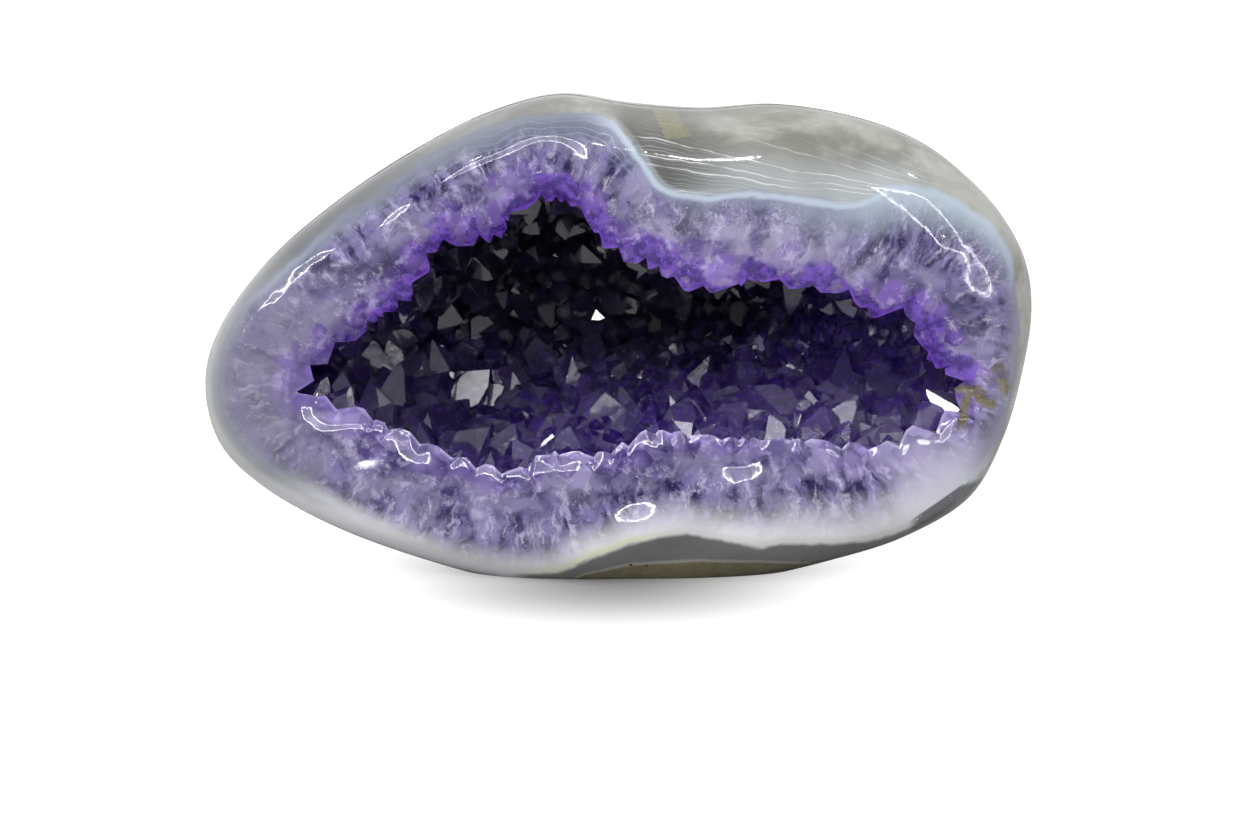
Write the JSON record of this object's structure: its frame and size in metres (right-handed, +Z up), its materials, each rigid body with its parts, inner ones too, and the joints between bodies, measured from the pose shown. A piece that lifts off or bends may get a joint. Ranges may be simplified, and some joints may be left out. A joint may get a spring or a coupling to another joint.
{
  "type": "amethyst geode half",
  "caption": "Free-standing half of a polished amethyst geode: a rounded agate-rimmed stone with a crystal-lined hollow open to the front, resting on a small flat cut.",
  "frame": {"origin": "on the flat cut that it stands on, under the middle of the stone", "axes": "+X along the length, towards the broad end; +Y from the open front to the back; +Z up"},
  "size_m": [0.1501, 0.0709, 0.086],
  "materials": {
    "polished_stone": "polished banded agate and pale lilac quartz",
    "amethyst": "clear violet crystals with flat glossy faces"
  },
  "bodies": {
    "root": {"geode_stone": "polished_stone", "amethyst_crust": "amethyst"}
  },
  "joints": []
}
